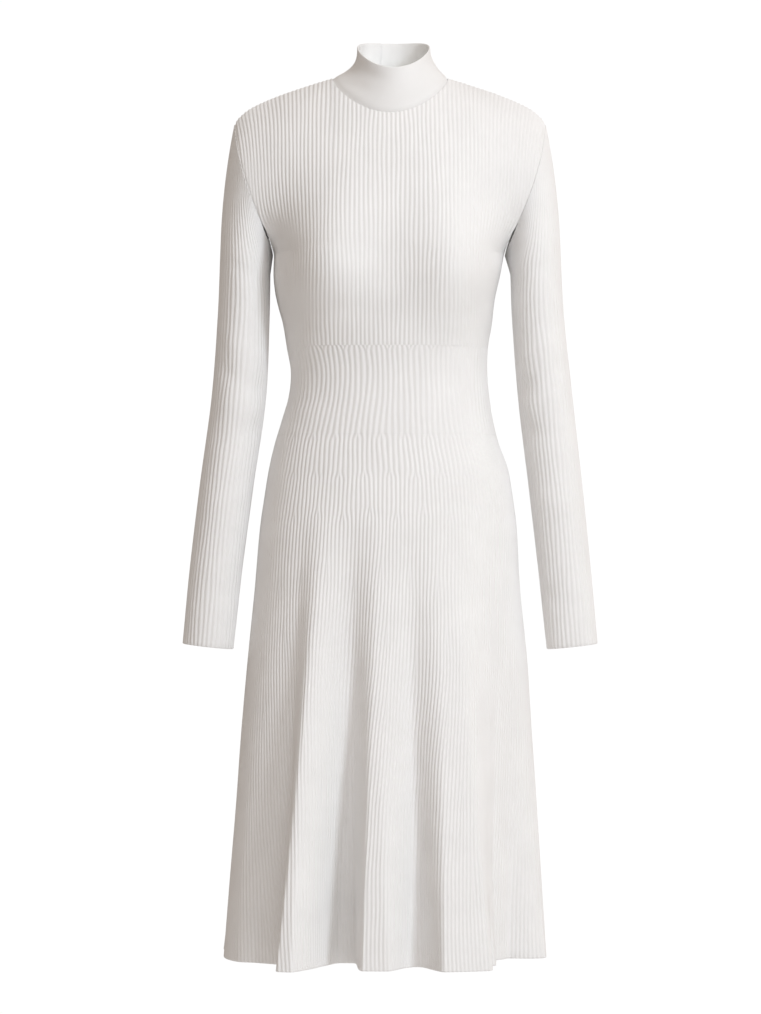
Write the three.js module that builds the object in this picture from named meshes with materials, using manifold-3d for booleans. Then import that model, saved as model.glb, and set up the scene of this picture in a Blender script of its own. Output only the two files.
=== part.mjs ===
// A long-sleeved sweater dress in rib knit, filled out as worn: mock neck, fitted bodice, snug waist, flared
// skirt. Millimetres, +Z up, +X to the wearer's left, the front towards -Y.
// The origin is at the middle of the neck's base, level with the high points of the shoulders.

import * as THREE from "three";
import { mergeVertices } from "three/addons/utils/BufferGeometryUtils.js";
import Module from "manifold-3d";

// Heights
const UNDERARM_Z = -222;
const WAIST_TOP_Z = -337.5;
const WAIST_BOTTOM_Z = -446;
const FOLDS_START_Z = -530;
const HEM_Z = -1098;

// The knit: each wall is its backing, with ribs raised on its outside
const BACKING = 1.7;
const RIB_RELIEF = 0.9;
const COLLAR_WALL = 2;
const SEAM_GAP = 0.36;
const UNDERARM_GAP = 1;

// Ribs in each half of the body and round a sleeve
const BODICE_RIBS = 65;
const WAIST_RIBS = 52;
const SKIRT_RIBS = 78;
const SLEEVE_RIBS = 36;

// Columns of points on the plain insides, and every how many points of the bodice's outside they lie
const NECK_INSIDE_STEP = 2;
const BODICE_INSIDE_STEP = 5;
const WAIST_INSIDE = 26;
const SKIRT_INSIDE = 42;
const SLEEVE_INSIDE = 24;
const COLLAR_COLUMNS = 44;

// Rows of points up each piece
const BODICE_ROWS = [WAIST_TOP_Z, -292, -255, UNDERARM_Z];
const YOKE_ROWS = [0, 0.2, 0.42, 0.64, 0.84, 1];
const WAIST_ROWS = [WAIST_BOTTOM_Z, -395, WAIST_TOP_Z];
const SKIRT_ROWS = [HEM_Z, -940, -790, -660, -555, WAIST_BOTTOM_Z];
const CAP_ROWS = [0, 0.34, 0.68];
const COLLAR_ROWS = [0, 0.3, 0.62, 1];

// The body of the dress by height: half widths to the wearer's right and left, depths to the front and back.
const BODY = [
  { z: -222, right: 145, left: 142, front: 112, back: 96 },
  { z: -250, right: 145.5, left: 137, front: 111, back: 94 },
  { z: -277, right: 142, left: 131, front: 108, back: 90 },
  { z: -307, right: 134, left: 127.5, front: 101, back: 84 },
  { z: -337, right: 129, left: 122.5, front: 95, back: 79 },
  { z: -367, right: 124, left: 121.5, front: 91, back: 79 },
  { z: -397, right: 126.5, left: 124, front: 91, back: 84 },
  { z: -427, right: 135, left: 128.5, front: 94, back: 92 },
  { z: -457, right: 144, left: 136, front: 98, back: 102 },
  { z: -487, right: 151, left: 147, front: 101, back: 111 },
  { z: -517, right: 156, left: 152.5, front: 104, back: 119 },
  { z: -562, right: 162.5, left: 158.5, front: 108, back: 127 },
  { z: -637, right: 169, left: 163, front: 112, back: 134 },
  { z: -727, right: 178, left: 172, front: 115, back: 139 },
  { z: -817, right: 186, left: 177.5, front: 116, back: 145 },
  { z: -907, right: 192.5, left: 183.5, front: 116, back: 152 },
  { z: -997, right: 200, left: 189, front: 115, back: 160 },
  { z: -1098, right: 208, left: 195.5, front: 114, back: 170 },
];
const SQUARENESS = 0.08;

// The fullness over the bust, one soft rise each side of the centre front, fading out at the side seams.
const BUST = { out: 26, x: 82, z: -238, wide: 50, high: 66, fading: 4 };

// The skirt's folds at the hem, each a soft ridge or hollow: where it starts and ends in degrees from the
// centre front towards the wearer's left, how far it stands out or in, how wide the flanks before and after
// it are in degrees, and how far it leans sideways.
const FOLDS = [
  { start: -58, end: -36.5, out: -10, before: 12, after: 4, lean: 0 },
  { start: -34, end: -24.5, out: 56, before: 4.5, after: 6, lean: -4 },
  { start: -21, end: -11, out: -44, before: 6, after: 4.5, lean: 0 },
  { start: -10, end: 2.5, out: 32, before: 4, after: 7, lean: 0 },
  { start: 6.5, end: 11, out: -8, before: 4, after: 4, lean: 0 },
  { start: 13, end: 34, out: 44, before: 5, after: 7, lean: 2 },
  { start: 43, end: 76, out: -45, before: 9, after: 16, lean: 0 },
  { start: 108, end: 127, out: 20, before: 12, after: 12, lean: 4 },
  { start: 131, end: 145, out: -26, before: 12, after: 14, lean: 0 },
  { start: 147, end: 170, out: 34, before: 13, after: 13, lean: 5 },
  { start: 172, end: 190, out: -24, before: 12, after: 12, lean: 0 },
  { start: 194, end: 216, out: 32, before: 13, after: 12, lean: -5 },
  { start: 218, end: 234, out: -27, before: 13, after: 12, lean: 0 },
  { start: 238, end: 253, out: 20, before: 12, after: 12, lean: -4 },
];
const FOLD_GROWTH = 1.2;
const FOLD_SOFTENING = 2;

// The neckline, an ellipse seen from above, and the shoulder seam, from its side to the shoulder point.
// The lean of the seam between bodice and collar is upwards, as a share of its outward part.
const NECK = { halfWidth: 72.5, front: 64, back: 57, frontLean: 0.75, backLean: 0.55, sideLean: 0.5 };
const NECK_SHARE = 0.4;
const NAPE_RISE = 9;
const SHOULDER = [
  { share: 0, x: 0 },
  { share: NECK_SHARE, x: 72.5 },
  { share: 0.7, x: 131 },
  { share: 1, x: 194.5 },
];
const SHOULDER_SLOPE = [
  { x: 72.5, z: 0 },
  { x: 97, z: -7.5 },
  { x: 141, z: -22.5 },
  { x: 175, z: -38 },
  { x: 190, z: -50.5 },
  { x: 194.5, z: -58 },
];
const SHOULDER_POINT_X = 194.5;

// How the upper bodice leaves the underarm level: the ends of the row that steers it, and that row's middle.
const CHEST = {
  front: { x: 150, y: 62, z: -196, middleDepth: 118, middleZ: -165 },
  back: { x: 148, y: 62, z: -196, middleDepth: 100, middleZ: -165 },
};

// The row that steers it as it comes up to the shoulders, by share of the half width.
const YOKE = {
  front: [
    { share: 0, x: 0, depth: 75, z: -15 },
    { share: 0.4, x: 73, depth: 78, z: -34 },
    { share: 0.7, x: 128, depth: 79, z: -62 },
    { share: 1, x: 188, depth: 82, z: -135 },
  ],
  back: [
    { share: 0, x: 0, depth: 85, z: 42 },
    { share: 0.4, x: 73, depth: 80, z: 2 },
    { share: 0.7, x: 128, depth: 78, z: -48 },
    { share: 1, x: 185.5, depth: 84, z: -128 },
  ],
};

// The sleeve from the end of its cap to the wrist: its outer and inner edges, half its depth, how far it
// swings forward, and how much farther out the wearer's left one bows.
const SLEEVE = [
  { outX: 212, outZ: -215, inX: 149.5, inZ: -246, depth: 52, forward: 0, bow: 1 },
  { outX: 215.5, outZ: -300, inX: 150.5, inZ: -302, depth: 48, forward: 1, bow: 2 },
  { outX: 223, outZ: -400, inX: 155, inZ: -402, depth: 44.5, forward: 4, bow: 5 },
  { outX: 237, outZ: -505, inX: 170, inZ: -508, depth: 40, forward: 8, bow: 2.5 },
  { outX: 249.5, outZ: -610, inX: 184, inZ: -613, depth: 35, forward: 12, bow: 0.5 },
  { outX: 258.5, outZ: -706, inX: 195, inZ: -713, depth: 30, forward: 16, bow: 0 },
];
const CAP_FULLNESS = 14;

// At the underarm the sleeve's wall leans, and above it the two walls share one normal once theirs agree.
const UNDERARM_LEAN = -0.2;
const SEPARATE_WALLS = -0.1;
const JOINED_WALLS = 0.6;

// The mock neck: its top ring, how fast it narrows from the neckline and how much faster on the wearer's
// right, and how its ends lap at the back.
const COLLAR = {
  topHalfWidth: 45.6,
  topCentreX: 4.5,
  topCentreY: -8,
  topHalfDepth: 52,
  topZ: 37.5,
  frontDip: 20.75,
  sideRise: 9.75,
  narrowing: 2.2,
  rightNarrowing: 1.1,
  innerEnd: -157,
  outerEnd: 214,
  lapDepth: 3.1,
  lapFrom: -146,
  lapTo: -122,
};

// The slit below the collar's lap, which lets the head through: its side place, length and width, and how far
// inside the neckline its cut begins.
const SLIT = { x: -25, length: 115, width: 1.2, clear: 20 };

const KNIT = { color: 0xf2efe9, roughness: 0.92, metalness: 0 };
const FRONT = "front";
const BACK = "back";
const QUARTER = Math.PI / 2;
const TURN = 2 * Math.PI;

// Steps over which slopes of the surfaces are measured: of an angle, of a height, and of a share.
const ANGLE_STEP = 0.004;
const NECK_STEP = 0.06;
const HEIGHT_STEP = 2;
const SHARE_STEP = 0.02;
const CENTRE_SPACING = 0.88;
const ARC_SAMPLES = 400;
const SAME = 1e-6;

const vector = (x, y, z) => new THREE.Vector3(x, y, z);
const radians = (degrees) => THREE.MathUtils.degToRad(degrees);
const mix = (a, b, share) => a.clone().lerp(b, share);
const halfTurn = (angle) => THREE.MathUtils.euclideanModulo(angle + Math.PI, TURN) - Math.PI;
const gauss = (distance, width) => Math.exp(-((distance / width) ** 2));
const spread = (count) => Array.from({ length: count + 1 }, (_, i) => i / count);

// A smooth curve through one column of a table, read at a value of its key column.
function smooth(table, key, column) {
  const rows = [...table].sort((a, b) => a[key] - b[key]);
  const last = rows.length - 1;
  const slopes = rows.map((_, i) => {
    const before = rows[Math.max(i - 1, 0)];
    const after = rows[Math.min(i + 1, last)];
    return (after[column] - before[column]) / (after[key] - before[key]);
  });
  return (value) => {
    const at = THREE.MathUtils.clamp(value, rows[0][key], rows[last][key]);
    let i = 0;
    while (i < last - 1 && rows[i + 1][key] < at) i += 1;
    const span = rows[i + 1][key] - rows[i][key];
    const t = (at - rows[i][key]) / span;
    const low = rows[i][column] * (1 + 2 * t) + slopes[i] * span * t;
    const high = rows[i + 1][column] * (3 - 2 * t) - slopes[i + 1] * span * (1 - t);
    return low * (1 - t) ** 2 + high * t ** 2;
  };
}

const columns = (table, key) =>
  Object.fromEntries(Object.keys(table[0]).map((name) => [name, smooth(table, key, name)]));

// The same table carried on to the other side of the middle, where x changes its sign.
const mirrored = (table) => [
  ...table.slice(1).map((row) => ({ ...row, share: -row.share, x: -row.x })),
  ...table,
];

const body = columns(BODY, "z");
const shoulderX = smooth(mirrored(SHOULDER), "share", "x");
const shoulderSlope = smooth(SHOULDER_SLOPE, "x", "z");
const yoke = { front: columns(mirrored(YOKE.front), "share"), back: columns(mirrored(YOKE.back), "share") };

function bezier(a, b, c, d, t) {
  return new THREE.CubicBezierCurve3(a, b, c, d).getPoint(t);
}

// How much of a fold is felt at an angle: all of it between its flanks, which are wider where it is young.
function foldShare({ start, end, before, after }, angle, growth) {
  const turn = THREE.MathUtils.radToDeg(halfTurn(angle - radians((start + end) / 2)));
  const half = (end - start) / 2;
  const widening = (1 + FOLD_SOFTENING * (1 - growth)) / 2;
  const rising = THREE.MathUtils.smoothstep(turn, -half - before * widening, -half + before * widening);
  const falling = THREE.MathUtils.smoothstep(-turn, -half - after * widening, -half + after * widening);
  return growth * rising * falling;
}

// The outside of the dress below the underarm, at a height and an angle from the centre front.
function bodyPoint(z, angle) {
  const sine = Math.sin(angle);
  const cosine = Math.cos(angle);
  const width = sine < 0 ? body.right(z) : body.left(z);
  const depth = cosine > 0 ? body.front(z) : body.back(z);
  const x = width * sine * (1 + SQUARENESS * cosine ** 2);
  let y = -depth * cosine * (1 + SQUARENESS * sine ** 2);
  if (cosine > 0) {
    const rises = gauss(x - BUST.x, BUST.wide) + gauss(x + BUST.x, BUST.wide);
    y -= BUST.out * rises * gauss(z - BUST.z, BUST.high) * Math.min(1, BUST.fading * cosine);
  }
  const growth = Math.max(0, (FOLDS_START_Z - z) / (FOLDS_START_Z - HEM_Z)) ** FOLD_GROWTH;
  const outward = vector(sine / width, -cosine / depth, 0).normalize();
  const sideways = vector(-outward.y, outward.x, 0);
  const point = vector(x, y, z);
  if (growth === 0) return point;
  for (const fold of FOLDS) {
    const share = foldShare(fold, angle, growth);
    point.addScaledVector(outward, fold.out * share).addScaledVector(sideways, fold.lean * share);
  }
  return point;
}

function bodyNormal(z, angle) {
  const across = bodyPoint(z, angle + ANGLE_STEP).sub(bodyPoint(z, angle - ANGLE_STEP));
  const along = bodyPoint(z + HEIGHT_STEP, angle).sub(bodyPoint(z - HEIGHT_STEP, angle));
  return across.cross(along).normalize();
}

// Angles along half the body at one height, equal lengths of cloth apart, from the wearer's right to left.
function evenAngles(z, face, shares) {
  const middle = face === FRONT ? 0 : Math.PI;
  const turn = face === FRONT ? 1 : -1;
  const fine = spread(ARC_SAMPLES).map((share) => middle + turn * (2 * share - 1) * QUARTER);
  const lengths = [0];
  let previous = bodyPoint(z, fine[0]);
  for (const angle of fine.slice(1)) {
    const next = bodyPoint(z, angle);
    lengths.push(lengths.at(-1) + next.distanceTo(previous));
    previous = next;
  }
  return shares.map((share) => {
    const wanted = share * lengths.at(-1);
    let i = 0;
    while (i < lengths.length - 2 && lengths[i + 1] < wanted) i += 1;
    const part = (wanted - lengths[i]) / (lengths[i + 1] - lengths[i]);
    return THREE.MathUtils.lerp(fine[i], fine[i + 1], part);
  });
}

// The bodice's columns: u is -1 at the wearer's right side and 1 at the left, closest together at the centre.
function columnAngle(face, u) {
  const turn = QUARTER * (CENTRE_SPACING * u + (1 - CENTRE_SPACING) * u ** 3);
  return face === FRONT ? turn : Math.PI - turn;
}

const faceSign = (face) => (face === FRONT ? -1 : 1);

// Height of the shoulder seam, and of the line that would carry it on across the neck.
function shoulderZ(x) {
  const width = Math.abs(x);
  if (width >= NECK.halfWidth) return shoulderSlope(width);
  return NAPE_RISE * (1 - (width / NECK.halfWidth) ** 2);
}

function topRow(face, u) {
  const x = shoulderX(u);
  return vector(x, faceSign(face) * SEAM_GAP / 2, shoulderZ(x));
}

// The first steering row, an arc across the chest or the shoulder blades.
function chestRow(face, u) {
  const row = CHEST[face];
  const turn = Math.acos(row.y / row.middleDepth);
  const width = row.x / Math.sin(turn);
  const z = THREE.MathUtils.lerp(row.middleZ, row.z, Math.abs(u) ** 3);
  return vector(width * Math.sin(turn * u), faceSign(face) * row.middleDepth * Math.cos(turn * u), z);
}

function yokeRow(face, u) {
  const { x, depth, z } = yoke[face];
  return vector(x(u), faceSign(face) * depth(u), z(u));
}

// The surface above the underarm, v from that level to the shoulders. At u = 1 and -1 it follows the
// armholes.
function yokePoint(face, u, v) {
  const start = bodyPoint(UNDERARM_Z, columnAngle(face, u));
  return bezier(start, chestRow(face, u), yokeRow(face, u), topRow(face, u), v);
}

// How far up a column the bodice reaches: to the shoulder seam, or to the neckline inside it.
function topShare(face, u) {
  if (Math.abs(u) >= NECK_SHARE - SAME) return 1;
  let low = 0;
  let high = 1;
  while (high - low > SAME) {
    const middle = (low + high) / 2;
    const { x, y } = yokePoint(face, u, middle);
    const outside = (x / NECK.halfWidth) ** 2 + (y / NECK[face]) ** 2 > 1;
    if (outside) low = middle;
    else high = middle;
  }
  return low;
}

function yokeNormal(face, u, v) {
  const left = yokePoint(face, Math.min(u + SHARE_STEP, 1), v);
  const across = left.sub(yokePoint(face, Math.max(u - SHARE_STEP, -1), v));
  const above = yokePoint(face, u, Math.min(v + SHARE_STEP, 1));
  const up = above.sub(yokePoint(face, u, Math.max(v - SHARE_STEP, 0)));
  return across.cross(up).multiplyScalar(-faceSign(face)).normalize();
}

// The outward normal that both sides of a shoulder seam share.
function shoulderNormal(x) {
  const slope = (shoulderZ(Math.abs(x) + 1) - shoulderZ(Math.abs(x) - 1)) / 2;
  return vector(-Math.sign(x) * slope, 0, 1).normalize();
}

// The rings of the sleeve's table as closed curves; turn is 0 on the outside and grows towards the front.
const sleeveTable = SLEEVE.map((row, i) => ({ ...row, ring: i }));
const sleeve = columns(sleeveTable, "ring");

function sleeveRing(side, ring, turn) {
  const outside = vector(sleeve.outX(ring), 0, sleeve.outZ(ring));
  const inside = vector(sleeve.inX(ring), 0, sleeve.inZ(ring));
  const point = mix(inside, outside, 0.5 + 0.5 * Math.cos(turn));
  point.x = side * point.x + Math.max(0, side) * sleeve.bow(ring);
  point.y = -sleeve.depth(ring) * Math.sin(turn) - sleeve.forward(ring);
  return point;
}

// Where the armhole's point at height share v lies round the sleeve.
function armholeTurn(side, face, v) {
  const bottom = Math.abs(yokePoint(face, side, 0).x);
  const out = Math.abs(yokePoint(face, side, v).x);
  const share = THREE.MathUtils.clamp((out - bottom) / (SHOULDER_POINT_X - bottom), 0, 1);
  return -faceSign(face) * Math.acos(2 * share - 1);
}

// A station of the armhole, which the bodice's edge and the sleeve's first ring share: its point, the normals
// of the two walls, and the step from one wall to the other. Where the walls lie back to back, towards the
// underarm, they stand side by side, and elsewhere they meet edge to edge with one normal.
function armholeStation(side, face, v) {
  const point = yokePoint(face, side, v);
  if (v === 1) {
    const normal = shoulderNormal(point.x);
    const offset = vector(side * normal.z, 0, -Math.abs(normal.x)).multiplyScalar(SEAM_GAP);
    return { point, bodice: normal, sleeve: normal, offset };
  }
  if (v === 0) {
    const bodice = vector(side, 0, 0);
    const underSleeve = vector(-side, 0, UNDERARM_LEAN).normalize();
    return { point, bodice, sleeve: underSleeve, offset: vector(side * UNDERARM_GAP, 0, 0) };
  }
  const own = yokeNormal(face, side, v);
  const above = yokePoint(face, side, Math.min(1, v + SHARE_STEP));
  const along = above.sub(yokePoint(face, side, Math.max(0, v - SHARE_STEP))).normalize();
  const down = sleeveRing(side, 0, armholeTurn(side, face, v)).sub(point);
  const handed = -faceSign(face) * side;
  const theirs = along.clone().cross(down).multiplyScalar(-handed).normalize();
  const shared = THREE.MathUtils.smoothstep(own.dot(theirs), SEPARATE_WALLS, JOINED_WALLS);
  const bodice = own.clone().addScaledVector(theirs, shared).normalize();
  const sleeveWall = theirs.clone().addScaledVector(own, shared).normalize();
  const away = along.cross(bodice).multiplyScalar(handed * SEAM_GAP);
  const offset = mix(own.multiplyScalar(UNDERARM_GAP), away, shared);
  return { point, bodice, sleeve: sleeveWall, offset };
}

// From the shoulder point down the front and up the back.
function armhole(side) {
  const down = [...YOKE_ROWS].reverse().map((v) => armholeStation(side, FRONT, v));
  const up = YOKE_ROWS.slice(1).map((v) => armholeStation(side, BACK, v));
  return [...down, ...up];
}

const armholes = { "-1": armhole(-1), 1: armhole(1) };

// A place on the sleeve's first ring, by share of the way round from the shoulder point over the front.
function capEdge(side, share) {
  const stations = armholes[side];
  const lengths = [0];
  for (let i = 1; i < stations.length; i += 1)
    lengths.push(lengths[i - 1] + stations[i].point.distanceTo(stations[i - 1].point));
  const lowest = YOKE_ROWS.length - 1;
  const wanted =
    share < 0.5
      ? share * 2 * lengths[lowest]
      : lengths[lowest] + (share - 0.5) * 2 * (lengths.at(-1) - lengths[lowest]);
  let i = 0;
  while (i < lengths.length - 2 && lengths[i + 1] < wanted) i += 1;
  const part = (wanted - lengths[i]) / (lengths[i + 1] - lengths[i]);
  const [a, b] = [stations[i], stations[i + 1]];
  return {
    point: mix(a.point.clone().add(a.offset), b.point.clone().add(b.offset), part),
    normal: mix(a.sleeve, b.sleeve, part).normalize(),
  };
}

// The sleeve's surface: row 0 is the armhole, 1 the end of the cap, and each further whole row a ring of the
// table.
function sleevePoint(side, row, share) {
  const turn = TURN * share;
  if (row >= 1) return sleeveRing(side, row - 1, turn);
  const edge = capEdge(side, THREE.MathUtils.euclideanModulo(share, 1)).point;
  const point = mix(edge, sleeveRing(side, 0, turn), row);
  point.x += side * CAP_FULLNESS * row * (1 - row) * Math.max(0, Math.cos(turn));
  return point;
}

function sleeveNormal(side, row, share) {
  if (row === 0) return capEdge(side, share).normal;
  const across = sleevePoint(side, row, share + ANGLE_STEP).sub(sleevePoint(side, row, share - ANGLE_STEP));
  const below = sleevePoint(side, Math.min(row + SHARE_STEP, SLEEVE.length), share);
  const along = below.sub(sleevePoint(side, row - SHARE_STEP, share));
  return across.cross(along).multiplyScalar(side).normalize();
}

// A closed mesh from points and triangles, turned to face out.
function closedGeometry(points, triangles) {
  const volume = triangles.reduce(
    (sum, [a, b, c]) => sum + points[a].dot(points[b].clone().cross(points[c])),
    0,
  );
  const faces = volume < 0 ? triangles.map(([a, b, c]) => [a, c, b]) : triangles;
  const geometry = new THREE.BufferGeometry().setFromPoints(points);
  geometry.setIndex(faces.flat());
  geometry.computeVertexNormals();
  return geometry;
}

// Triangles between two lines of points that run the same way, each point with its share of the way along.
function stitch(a, aShares, b, bShares) {
  const faces = [];
  let i = 0;
  let j = 0;
  while (i < a.length - 1 || j < b.length - 1) {
    const nextA = i < a.length - 1 ? aShares[i + 1] : Infinity;
    const nextB = j < b.length - 1 ? bShares[j + 1] : Infinity;
    if (nextA <= nextB) {
      faces.push([a[i], a[i + 1], b[j]]);
      i += 1;
    } else {
      faces.push([a[i], b[j + 1], b[j]]);
      j += 1;
    }
  }
  return faces;
}

// A wall of cloth: rows of outer and inner points and the rims between them, closed round or with side edges.
function wall(rows, outer, outerShares, inner, innerShares, closed) {
  const points = [];
  const place = (make, shares) =>
    rows.map((row) => {
      const line = shares.map((share, i) => {
        if (closed && i === shares.length - 1) return null;
        points.push(make(row, share, i));
        return points.length - 1;
      });
      if (closed) line[line.length - 1] = line[0];
      return line;
    });
  const outerLines = place(outer, outerShares);
  const innerLines = place(inner, innerShares);
  const faces = [];
  for (let i = 0; i < rows.length - 1; i += 1) {
    faces.push(...stitch(outerLines[i], outerShares, outerLines[i + 1], outerShares));
    faces.push(...stitch(innerLines[i + 1], innerShares, innerLines[i], innerShares));
    if (!closed) {
      faces.push([outerLines[i][0], outerLines[i + 1][0], innerLines[i][0]]);
      faces.push([outerLines[i + 1][0], innerLines[i + 1][0], innerLines[i][0]]);
      faces.push([outerLines[i + 1].at(-1), outerLines[i].at(-1), innerLines[i].at(-1)]);
      faces.push([outerLines[i + 1].at(-1), innerLines[i].at(-1), innerLines[i + 1].at(-1)]);
    }
  }
  const last = rows.length - 1;
  faces.push(...stitch(innerLines[0], innerShares, outerLines[0], outerShares));
  faces.push(...stitch(outerLines[last], outerShares, innerLines[last], innerShares));
  return closedGeometry(points, faces);
}

const relief = (index) => (index % 2 === 0 ? RIB_RELIEF : 0);
const ribShares = (ribs) => spread(2 * ribs);

// Half of the body between two transfer lines.
function bodyHalf(face, rows, ribs, insideColumns) {
  const shares = ribShares(ribs);
  const insideShares = spread(insideColumns);
  const levels = rows.map((z, i) => {
    const trim = i === 0 && z > HEM_Z ? SEAM_GAP / 2 : i === rows.length - 1 ? -SEAM_GAP / 2 : 0;
    return {
      z: z + trim,
      outer: evenAngles(z, face, shares),
      inner: evenAngles(z, face, insideShares),
    };
  });
  const at = (level, angle, share, depth) => {
    const flatNormal = bodyNormal(level.z, angle).setZ(0).normalize();
    const point = bodyPoint(level.z, angle).addScaledVector(flatNormal, -depth);
    if (share === 0 || share === 1) point.y += faceSign(face) * SEAM_GAP / 2;
    return point;
  };
  return wall(
    levels,
    (level, share, i) => at(level, level.outer[i], share, relief(i)),
    shares,
    (level, share, i) => at(level, level.inner[i], share, RIB_RELIEF + BACKING),
    insideShares,
    false,
  );
}

// The bodice: body sections up to the underarm, then the yoke up to the neckline and the shoulders.
function bodiceHalf(face) {
  const shares = ribShares(BODICE_RIBS);
  const inside = shares.filter((share, i) => {
    const step = Math.abs(2 * share - 1) < NECK_SHARE + SHARE_STEP ? NECK_INSIDE_STEP : BODICE_INSIDE_STEP;
    return i % step === 0 || i === shares.length - 1;
  });
  const rows = [
    ...BODICE_ROWS.slice(0, -1).map((z) => ({ z })),
    ...YOKE_ROWS.map((v) => ({ v })),
  ];
  const at = (row, share, depth) => {
    const u = 2 * share - 1;
    const edge = Math.abs(u) === 1;
    if (row.z !== undefined) {
      const angle = columnAngle(face, u);
      const z = row.z === WAIST_TOP_Z ? row.z + SEAM_GAP / 2 : row.z;
      const point = bodyPoint(z, angle).addScaledVector(bodyNormal(z, angle), -depth);
      if (edge) point.y += faceSign(face) * SEAM_GAP / 2;
      if (row.z === WAIST_TOP_Z) point.z = z;
      return point;
    }
    const v = row.v * (1 - (1 - topShare(face, u)) * row.v);
    const point = yokePoint(face, u, v);
    let normal = row.v === 0 ? bodyNormal(UNDERARM_Z, columnAngle(face, u)) : yokeNormal(face, u, v);
    if (row.v === 1) normal = v < 1 ? neckNormal(neckAngle(point)) : shoulderNormal(point.x);
    if (edge) {
      const lowest = YOKE_ROWS.length - 1;
      normal = armholes[u][lowest + faceSign(face) * YOKE_ROWS.indexOf(row.v)].bodice;
    }
    if (edge && row.v === 0) point.y += faceSign(face) * SEAM_GAP / 2;
    return point.addScaledVector(normal, -depth);
  };
  return wall(
    rows,
    (row, share, i) => at(row, share, relief(i)),
    shares,
    (row, share) => at(row, share, RIB_RELIEF + BACKING),
    inside,
    false,
  );
}

// The neckline's corners, in the columns of the bodice, by angle from the centre front towards the wearer's
// left.
const neckAngle = ({ x, y }) =>
  Math.atan2(x / NECK.halfWidth, y < 0 ? -y / NECK.front : -y / NECK.back);

const neckline = [FRONT, BACK]
  .flatMap((face) =>
    ribShares(BODICE_RIBS)
      .map((share) => 2 * share - 1)
      .filter((u) => Math.abs(u) <= NECK_SHARE + SAME)
      .map((u) => yokePoint(face, u, topShare(face, u))),
  )
  .map((point) => ({ angle: neckAngle(point), point }))
  .sort((a, b) => a.angle - b.angle);

function neckPoint(angle) {
  const turn = halfTurn(angle);
  const next = Math.max(0, neckline.findIndex((corner) => corner.angle > turn));
  const after = neckline[next];
  const before = neckline.at(next - 1);
  const span = THREE.MathUtils.euclideanModulo(after.angle - before.angle, TURN);
  const part = THREE.MathUtils.euclideanModulo(turn - before.angle, TURN) / span;
  return mix(before.point, after.point, part);
}

function neckAlong(angle) {
  return neckPoint(angle + NECK_STEP).sub(neckPoint(angle - NECK_STEP)).normalize();
}

// The outward normal that the bodice and the collar share at the neckline: it leans out and up.
function neckNormal(angle) {
  const along = neckAlong(angle);
  const cosine = Math.cos(angle);
  const lean = cosine > 0 ? NECK.frontLean : NECK.backLean;
  const wanted = vector(Math.sin(angle), -cosine, lean + NECK.sideLean * Math.sin(angle) ** 2);
  return wanted.addScaledVector(along, -wanted.dot(along)).normalize();
}

// The collar's surface by angle from the centre front and share of its height.
function collarPoint(angle, share) {
  const cosine = Math.cos(angle);
  const base = neckPoint(angle);
  const top = vector(
    COLLAR.topCentreX + COLLAR.topHalfWidth * Math.sin(angle),
    COLLAR.topCentreY - COLLAR.topHalfDepth * cosine,
    COLLAR.topZ - COLLAR.frontDip * cosine - COLLAR.sideRise * cosine ** 2,
  );
  const rightward = Math.max(0, -Math.sin(angle)) ** 2;
  const point = mix(top, base, (1 - share) ** (COLLAR.narrowing + COLLAR.rightNarrowing * rightward));
  point.z = THREE.MathUtils.lerp(base.z, top.z, share);
  return point;
}

function collarNormal(angle, share) {
  if (share === 0) return neckNormal(angle);
  const across = collarPoint(angle + NECK_STEP, share).sub(collarPoint(angle - NECK_STEP, share));
  const above = collarPoint(angle, Math.min(1, share + SHARE_STEP));
  const up = above.sub(collarPoint(angle, share - SHARE_STEP));
  return across.cross(up).normalize();
}

function collarStrip() {
  const shares = spread(COLLAR_COLUMNS);
  const at = (row, share, depth) => {
    const degrees = THREE.MathUtils.lerp(COLLAR.innerEnd, COLLAR.outerEnd, share);
    const angle = radians(degrees);
    const outside = THREE.MathUtils.smoothstep(degrees, COLLAR.lapFrom, COLLAR.lapTo);
    const lap = COLLAR.lapDepth * (1 - outside);
    const normal = collarNormal(angle, row);
    const point = collarPoint(angle, row).addScaledVector(normal, -depth - lap);
    if (row === 0) {
      point.addScaledVector(neckAlong(angle).cross(normal), -SEAM_GAP);
    }
    return point;
  };
  return wall(
    COLLAR_ROWS,
    (row, share) => at(row, share, 0),
    shares,
    (row, share) => at(row, share, COLLAR_WALL),
    shares,
    false,
  );
}

function sleeveTube(side) {
  const shares = ribShares(SLEEVE_RIBS);
  const rows = [...CAP_ROWS, ...SLEEVE.map((_, i) => i + 1)];
  const at = (row, share, depth) =>
    sleevePoint(side, row, share).addScaledVector(sleeveNormal(side, row, share), -depth);
  return wall(
    rows,
    (row, share, i) => at(row, share, relief(i)),
    shares,
    (row, share) => at(row, share, RIB_RELIEF + BACKING),
    spread(SLEEVE_INSIDE),
    true,
  );
}

const manifold = await Module();
manifold.setup();

function toSolid(geometry) {
  const bare = geometry.clone();
  bare.deleteAttribute("normal");
  bare.deleteAttribute("uv");
  const merged = mergeVertices(bare, 1e-4);
  const vertProperties = new Float32Array(merged.attributes.position.array);
  const triVerts = new Uint32Array(merged.index.array);
  return new manifold.Manifold(new manifold.Mesh({ numProp: 3, vertProperties, triVerts }));
}

function toGeometry(solid) {
  const mesh = solid.getMesh();
  const geometry = new THREE.BufferGeometry();
  geometry.setAttribute("position", new THREE.BufferAttribute(mesh.vertProperties, 3));
  geometry.setIndex(new THREE.BufferAttribute(mesh.triVerts, 1));
  geometry.computeVertexNormals();
  return geometry;
}

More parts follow.
